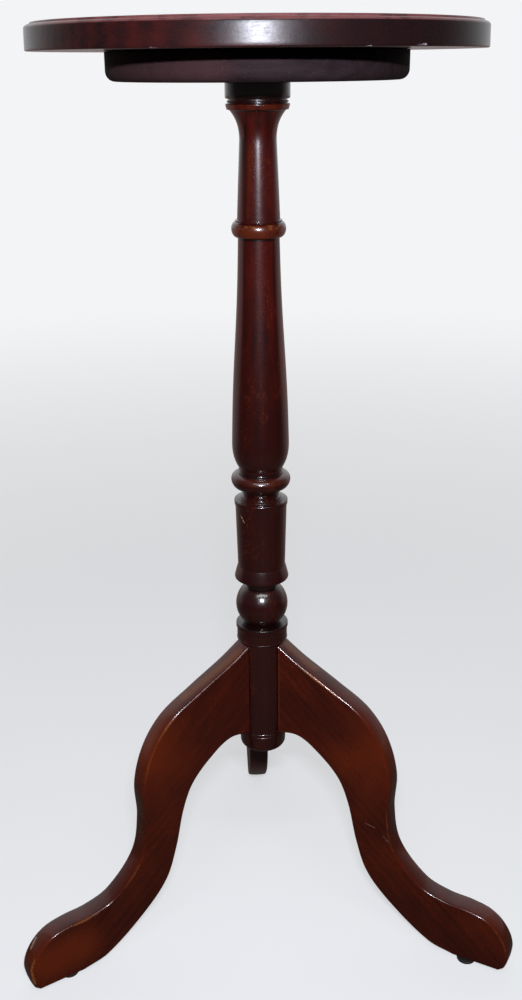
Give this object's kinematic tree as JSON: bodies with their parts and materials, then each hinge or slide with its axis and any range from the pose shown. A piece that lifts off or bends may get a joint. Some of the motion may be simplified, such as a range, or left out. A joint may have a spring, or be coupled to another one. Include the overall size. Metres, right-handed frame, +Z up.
{
  "type": "fern stand",
  "caption": "Tall tripod stand: a round top and cleat on a slim turned column, with curved board legs dowelled to its hub, a turned drop cap and glides under the feet.",
  "frame": {"origin": "on the floor, at the middle of the stand's box; the column's axis is 38.7 mm from it towards -Y", "axes": "+Z up along the column, +Y towards the foot of the rear leg, +X towards the front right leg's side"},
  "size_m": [0.4368, 0.4174, 0.7885],
  "materials": {
    "turned_wood": "dark red-brown stain, semi-gloss lacquer",
    "leg_wood": "red-brown stain, semi-gloss lacquer, worn arrises",
    "bare_wood": "unfinished",
    "screw_steel": "plated",
    "glide_plastic": "moulded"
  },
  "bodies": {
    "root": {"table_top": "turned_wood", "top_cleat": "turned_wood", "cleat_screw_1": "screw_steel", "cleat_screw_2": "screw_steel", "cleat_screw_3": "screw_steel", "cleat_screw_4": "screw_steel", "column": "turned_wood", "tenon_wedge": "bare_wood", "leg_front_right": "leg_wood", "leg_front_left": "leg_wood", "leg_rear": "leg_wood", "leg_front_right_dowel_lower": "bare_wood", "leg_front_right_dowel_upper": "bare_wood", "leg_front_left_dowel_lower": "bare_wood", "leg_front_left_dowel_upper": "bare_wood", "leg_rear_dowel_lower": "bare_wood", "leg_rear_dowel_upper": "bare_wood", "drop_cap": "turned_wood", "glide_front_right": "glide_plastic", "glide_front_left": "glide_plastic", "glide_rear": "glide_plastic"}
  },
  "joints": []
}
